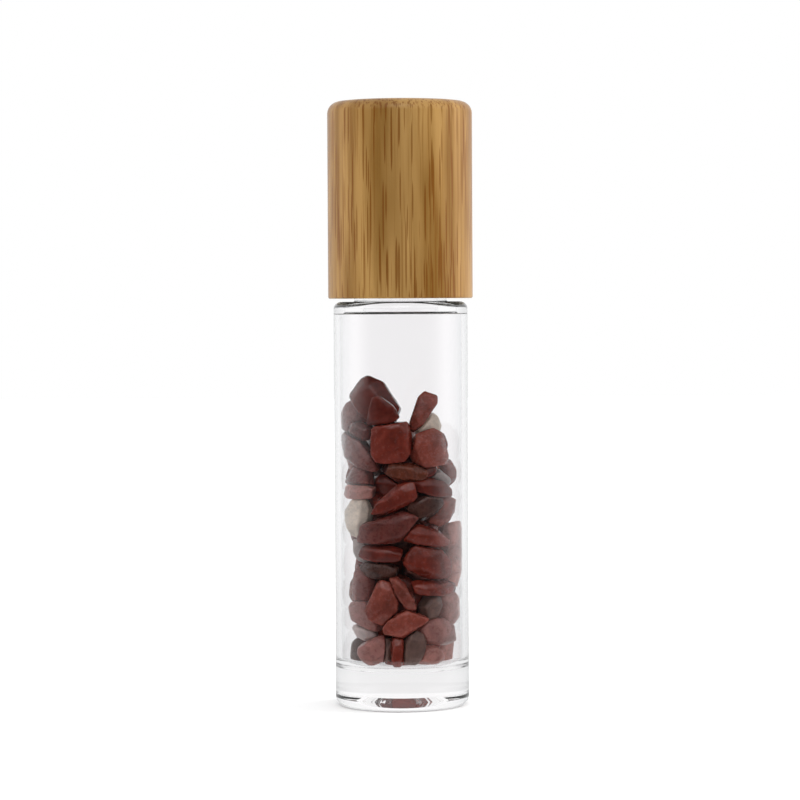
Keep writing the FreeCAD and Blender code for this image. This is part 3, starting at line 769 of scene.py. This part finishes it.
def laid_chip(node, sizes, kinds, passes):
    """One CAD node of the pile as tumbled stones: its mesh, with a finish for each stone."""
    whole = bmesh.new()
    number = sum(ord(letter) * position for position, letter in enumerate(node, start=1))
    for index, body in enumerate(chip_bodies(node)):
        chip = tumbled(body, sizes, passes, number % CHIP_SEEDS + index)
        mesh = as_mesh("chip.worn", chip)
        before = len(whole.faces)
        whole.from_mesh(mesh)
        bpy.data.meshes.remove(mesh)
        whole.faces.ensure_lookup_table()
        for face in whole.faces[before:]:
            face.material_index = index % len(kinds)
    return as_mesh(node, whole)


# Operators

class ROLLON_OT_glass_bottle(Operator):
    """Turn the clear vial and put the thread on its neck"""
    bl_idname = "rollon.glass_bottle"
    bl_label = "Glass bottle"

    def execute(self, context):
        glass = context.scene.rollon_glass
        bore = glass.barrel - glass.wall
        ceiling = glass.shoulder - glass.shoulder_wall
        points = (
            (0.0, PUSH_UP, 0),
            (PUSH_UP_R, PUSH_UP, FINE_EDGE),
            (FOOT_R, 0.0, FINE_EDGE),
            (glass.barrel, 0.0, HEEL_ROUND),
            (glass.barrel, glass.shoulder, SHOULDER_ROUND),
            (glass.neck, glass.shoulder, EDGE),
            (glass.neck, glass.rim, WIDE_EDGE),
            (glass.neck_bore, glass.rim, WIDE_EDGE),
            (glass.neck_bore, ceiling, WIDE_EDGE),
            (bore, ceiling, SMALL_EDGE),
            (bore, glass.base, FLOOR_ROUND),
            (0.0, glass.base, 0),
        )
        ridge = thread(glass.neck - THREAD_SINK, glass.neck + THREAD_DEPTH, glass.shoulder + THREAD_START)
        turning = turned(points, closed=False)
        ripple_flank(turning)
        mesh = joined("bottle_glass", turning, ridge)
        finish = clear_glass(tuple(glass.colour), tuple(glass.edge))
        piece = place("bottle_glass", mesh, [finish], "glass_bottle")
        even_normals(piece)
        return {"FINISHED"}


class ROLLON_OT_roller_housing(Operator):
    """Turn the plastic fitment that holds the ball in the neck"""
    bl_idname = "rollon.roller_housing"
    bl_label = "Roller housing"

    def execute(self, context):
        glass = context.scene.rollon_glass
        low = HOUSING_BOX[0].z
        lip = HOUSING_BOX[1].z
        ball = (BALL_BOX[0].z + BALL_BOX[1].z) / 2
        cup = (BALL_BOX[1].z - BALL_BOX[0].z) / 2 + BALL_PLAY
        plug = glass.neck_bore - PLUG_PLAY
        skirt = plug - SKIRT_WALL
        points = [
            (FEED_R, low + WEB_HEIGHT, FINE_EDGE),
            (skirt, low + WEB_HEIGHT, EDGE),
            (skirt, low, SMALL_EDGE),
            (plug, low, SMALL_EDGE),
        ]
        for height in BEADS:
            points.append((plug, low + height - BEAD_HALF, 0))
            points.append((plug + BEAD_BITE, low + height, FINE_EDGE))
            points.append((plug, low + height + BEAD_HALF, 0))
        seat = glass.rim + SEAT_GAP
        collar = glass.neck - COLLAR_INSET
        collar_top = glass.rim + COLLAR_HEIGHT
        mouth = math.sqrt(cup ** 2 - (lip - ball) ** 2)
        points += [
            (plug, seat, 0),
            (collar, seat, SMALL_EDGE),
            (collar, collar_top, SOFT_EDGE),
            (cup + CUP_WALL, collar_top, EDGE),
            (mouth + LIP_WIDTH, lip, SOFT_EDGE),
        ]
        top = math.asin((lip - ball) / cup)
        bottom = -math.acos(FEED_R / cup)
        for step in range(CUP_STEPS + 1):
            angle = top + (bottom - top) * step / CUP_STEPS
            points.append((cup * math.cos(angle), ball + cup * math.sin(angle), 0))
        finish = moulded("housing_plastic", tuple(context.scene.rollon_roller.housing), HOUSING_ROUGHNESS)
        mesh = as_mesh("housing", turned(points, closed=True))
        piece = place("housing", mesh, [finish], "roller_housing")
        even_normals(piece)
        return {"FINISHED"}


class ROLLON_OT_roller_ball(Operator):
    """Make the polished ball"""
    bl_idname = "rollon.roller_ball"
    bl_label = "Roller ball"

    def execute(self, context):
        ball = bmesh.new()
        low, high = BALL_BOX
        bmesh.ops.create_icosphere(ball, subdivisions=BALL_SUBDIVISIONS, radius=(high.z - low.z) / 2)
        bmesh.ops.translate(ball, verts=ball.verts, vec=(low + high) / 2)
        finish = steel(tuple(context.scene.rollon_roller.steel))
        place("ball", as_mesh("ball", ball), [finish], "roller_ball")
        return {"FINISHED"}


class ROLLON_OT_sealing_disc(Operator):
    """Turn the foam disc that closes the ball"""
    bl_idname = "rollon.sealing_disc"
    bl_label = "Sealing disc"

    def execute(self, context):
        low, high = SEAL_BOX
        points = (
            (0.0, low.z, 0),
            (high.x, low.z, WIDE_EDGE),
            (high.x, high.z, WIDE_EDGE),
            (0.0, high.z, 0),
        )
        finish = foamed(tuple(context.scene.rollon_cap.foam))
        piece = place("seal", as_mesh("seal", turned(points, closed=False)), [finish], "sealing_disc")
        even_normals(piece)
        return {"FINISHED"}


class ROLLON_OT_cap_liner(Operator):
    """Turn the threaded liner of the cap"""
    bl_idname = "rollon.cap_liner"
    bl_label = "Cap liner"

    def execute(self, context):
        low, high = LINER_BOX
        bore = high.x - LINER_WALL
        ceiling = high.z - LINER_ROOF
        points = (
            (0.0, ceiling, 0),
            (bore, ceiling, EDGE),
            (bore, low.z, SOFT_EDGE),
            (high.x, low.z, SMALL_EDGE),
            (high.x, high.z, WIDE_EDGE),
            (0.0, high.z, 0),
        )
        start = context.scene.rollon_glass.shoulder + THREAD_START - THREAD_PITCH / 2
        ridge = thread(bore + THREAD_SINK, bore - THREAD_DEPTH, start)
        mesh = joined("liner", turned(points, closed=False), ridge)
        finish = moulded("liner_plastic", tuple(context.scene.rollon_cap.liner), LINER_ROUGHNESS)
        piece = place("liner", mesh, [finish], "cap_liner")
        even_normals(piece)
        return {"FINISHED"}


class ROLLON_OT_bamboo_cap(Operator):
    """Turn the bamboo cap"""
    bl_idname = "rollon.bamboo_cap"
    bl_label = "Bamboo cap"

    def execute(self, context):
        cap = context.scene.rollon_cap
        roof = LINER_BOX[1].z + GLUE_GAP
        points = (
            (0.0, roof, 0),
            (cap.bore, roof, EDGE),
            (cap.bore, cap.lower, SMALL_EDGE),
            (cap.outside, cap.lower, WIDE_EDGE),
            (cap.outside, cap.top, CAP_TOP_ROUND),
            (0.0, cap.top, 0),
        )
        turning = turned(points, closed=False)
        for face in turning.faces:
            middle = face.calc_center_median()
            in_bore = math.hypot(middle.x, middle.y) < cap.bore + BORE_MARGIN
            under_top = middle.z < cap.top - BORE_DEPTH_FROM_TOP
            face.material_index = int(in_bore and under_top or face.normal.z < FACES_DOWN)
        finishes = [bamboo(tuple(cap.straw), tuple(cap.tan), tuple(cap.fibre)), raw_bamboo(tuple(cap.raw))]
        piece = place("cap_bamboo", as_mesh("cap_bamboo", turning), finishes, "bamboo_cap")
        even_normals(piece)
        return {"FINISHED"}


class ROLLON_OT_front_chips(Operator):
    """Tumble the chips that show against the front of the glass"""
    bl_idname = "rollon.front_chips"
    bl_label = "Front chips"

    def execute(self, context):
        sizes = context.scene.rollon_stones
        for kind, numbers in FRONT_FINISHES.items():
            for number in numbers:
                node = f"stone_chip_{number:02d}"
                passes = sizes.rounding * (ROUNDER if number in ROUND_CHIPS else 1)
                mesh = laid_chip(node, sizes, [kind], passes)
                place(f"chip_{number:02d}", mesh, [stone_finish(kind)], node)
        return {"FINISHED"}


class ROLLON_OT_rear_chips(Operator):
    """Tumble the chips of the rows behind"""
    bl_idname = "rollon.rear_chips"
    bl_label = "Rear chips"

    def execute(self, context):
        sizes = context.scene.rollon_stones
        for node in sorted(name for name in frame["nodes"] if name.startswith("rear_chips")):
            row = int(node[-2:])
            turns = [row * ROW_STEP + index for index in range(FINISHES_IN_ROW)]
            kinds = [REAR_FINISHES[turn % len(REAR_FINISHES)] for turn in turns]
            mesh = laid_chip(node, sizes, kinds, sizes.rounding * ROUNDER)
            place(f"chips_row_{row:02d}", mesh, [stone_finish(kind) for kind in kinds], node)
        return {"FINISHED"}


# Stage, in metres. The dark side of the studio lies round the camera, from straight behind it to a little past the
# sides, and only where a mirrored ray runs nearly level.
FRONT_SPAN = (-0.98, 0.45)
LEVEL_FADE = (0.15, 0.40)
# Distances from the bottle over which the floor turns white for the eye; seen in the glass, it has painted shade
# in front and a painted contact shadow near the bottle, and is bright further off.
FLOOR_HALF = 1.5
WHITE_FADE = (0.02, 0.30)
FRONT_SHADE_FADE = (0.012, 0.06)
CONTACT_SHADOW_FADE = (0.03, 0.40)
FAR_LIFT = 0.7
CONTACT_SHADOW_LEVEL = 0.90
LAMP_SPOTS = {
    "key": (0.0, -0.45, 0.55),
    "left": (-0.45, 0.08, 0.20),
    "right": (0.45, 0.08, 0.20),
}
LAMP_SIZE = 0.35
LAMP_TARGET = (0.0, 0.0, 60 * MM)
# The camera stands a hair to the left, looks down a little and leans; angles in degrees.
CAMERA_SIDE = -0.07 * MM
CAMERA_DIP = 1.785
CAMERA_LEAN = 0.3
CAMERA_REACH = 10.0


class ROLLON_OT_stage(Operator):
    """Set the floor, the light and the camera"""
    bl_idname = "rollon.stage"
    bl_label = "Stage"

    def execute(self, context):
        stage = context.scene.rollon_stage
        self.lay_floor(stage)
        self.light_world(context.scene, stage)
        self.hang_lamps(context.scene, stage)
        self.set_camera(context.scene, stage)
        context.scene.view_settings.view_transform = "Standard"
        return {"FINISHED"}

    def lay_floor(self, stage):
        floor = bmesh.new()
        bmesh.ops.create_grid(floor, x_segments=1, y_segments=1, size=FLOOR_HALF)
        made = as_object("floor", floor)
        material = bpy.data.materials.new("floor")
        material.use_nodes = True
        graph = Graph(material.node_tree)
        graph.nodes.clear()
        path = graph.add("ShaderNodeLightPath").outputs
        spot = graph.ways("Object")
        squares = [graph.math("MULTIPLY", spot[axis], spot[axis]) for axis in "XY"]
        away = graph.math("SQRT", graph.math("ADD", *squares))
        lift = graph.math("MULTIPLY", path["Is Camera Ray"], graph.eased(away, *WHITE_FADE, stage.lift, FAR_LIFT))
        paint = graph.add("ShaderNodeBsdfDiffuse", Color=stage.floor).outputs[0]
        seen = graph.nodes.new("ShaderNodeAddShader")
        graph.put(seen.inputs[0], paint)
        graph.put(seen.inputs[1], graph.add("ShaderNodeEmission", Strength=lift).outputs[0])
        # Painted shade: in the glass, the floor is dark in front of the bottle, clear of its foot.
        front = graph.eased(graph.math("DIVIDE", spot["Y"], away), *FRONT_SPAN, 1.0, 0.0)
        dark = graph.math("MULTIPLY", front, graph.eased(away, *FRONT_SHADE_FADE, 0.0, 1.0))
        shade = graph.math("MULTIPLY", dark, graph.reflected(path))
        # Painted contact shadow: in the glass, the floor is dimmer near the bottle and fades to bright further
        # off.
        pale = graph.eased(away, *CONTACT_SHADOW_FADE, CONTACT_SHADOW_LEVEL, stage.behind)
        in_glass = graph.add("ShaderNodeEmission", Strength=graph.eased(shade, 0.0, 1.0, pale, stage.dark))
        both = graph.nodes.new("ShaderNodeMixShader")
        for socket, value in zip(both.inputs, (graph.mirrored(path), seen.outputs[0], in_glass.outputs[0])):
            graph.put(socket, value)
        graph.add("ShaderNodeOutputMaterial", Surface=both.outputs[0])
        made.data.materials.append(material)

    def light_world(self, scene, stage):
        world = bpy.data.worlds.new("studio")
        scene.world = world
        world.use_nodes = True
        graph = Graph(world.node_tree)
        graph.nodes.clear()
        path = graph.add("ShaderNodeLightPath").outputs
        way = graph.ways("Generated")
        front = graph.eased(way["Y"], *FRONT_SPAN, 1.0, 0.0)
        level = graph.eased(graph.math("ABSOLUTE", way["Z"]), *LEVEL_FADE, 1.0, 0.0)
        dark = graph.math("MULTIPLY", graph.math("MULTIPLY", front, level), graph.reflected(path))
        shade = graph.eased(dark, 0.0, 1.0, 1.0, stage.dark)
        strength = graph.eased(graph.mirrored(path), 0.0, 1.0, stage.ambient, stage.behind)
        lit = graph.math("MULTIPLY", shade, strength)
        shine = graph.add("ShaderNodeBackground", Color=(1.0, 1.0, 1.0),
                          Strength=graph.math("MAXIMUM", lit, path["Is Camera Ray"]))
        graph.add("ShaderNodeOutputWorld", Surface=shine.outputs[0])

    def hang_lamps(self, scene, stage):
        for side, spot in LAMP_SPOTS.items():
            lamp = bpy.data.lights.new(f"{side}_lamp", "AREA")
            lamp.shape = "RECTANGLE"
            lamp.size = LAMP_SIZE
            lamp.size_y = LAMP_SIZE
            lamp.energy = getattr(stage, f"{side}_power")
            hung = bpy.data.objects.new(f"{side}_lamp", lamp)
            scene.collection.objects.link(hung)
            hung.visible_glossy = hung.visible_transmission = side == "key"
            hung.location = spot
            hung.rotation_euler = (Vector(LAMP_TARGET) - hung.location).to_track_quat("-Z", "Y").to_euler()

    def set_camera(self, scene, stage):
        camera = bpy.data.cameras.new("camera")
        camera.lens = stage.lens
        camera.clip_end = CAMERA_REACH
        seat = bpy.data.objects.new("camera", camera)
        scene.collection.objects.link(seat)
        seat.location = (CAMERA_SIDE, -stage.distance, stage.height)
        seat.rotation_euler = Euler((math.radians(90 - CAMERA_DIP), math.radians(CAMERA_LEAN), 0.0))
        scene.camera = seat


OPERATORS = (
    ROLLON_OT_glass_bottle,
    ROLLON_OT_roller_housing,
    ROLLON_OT_roller_ball,
    ROLLON_OT_sealing_disc,
    ROLLON_OT_cap_liner,
    ROLLON_OT_bamboo_cap,
    ROLLON_OT_front_chips,
    ROLLON_OT_rear_chips,
    ROLLON_OT_stage,
)


class ROLLON_PT_panel(Panel):
    """Sizes, colours and steps of the bottle"""
    bl_idname = "ROLLON_PT_panel"
    bl_label = "Roll-on bottle"
    bl_space_type = "VIEW_3D"
    bl_region_type = "UI"
    bl_category = "Roll-on"

    def draw(self, context):
        for operator in OPERATORS:
            self.layout.operator(operator.bl_idname)
        for name, group in GROUPS.items():
            box = self.layout.box()
            for item in group.__annotations__:
                box.prop(getattr(context.scene, name), item)


CLASSES = (*GROUPS.values(), *OPERATORS, ROLLON_PT_panel)


def register():
    for item in CLASSES:
        bpy.utils.register_class(item)
    for name, group in GROUPS.items():
        setattr(bpy.types.Scene, name, PointerProperty(type=group))


def unregister():
    for name in GROUPS:
        delattr(bpy.types.Scene, name)
    for item in reversed(CLASSES):
        bpy.utils.unregister_class(item)


def main():
    register()
    for operator in OPERATORS:
        group, name = operator.bl_idname.split(".")
        getattr(getattr(bpy.ops, group), name)()


if __name__ == "__main__":
    main()
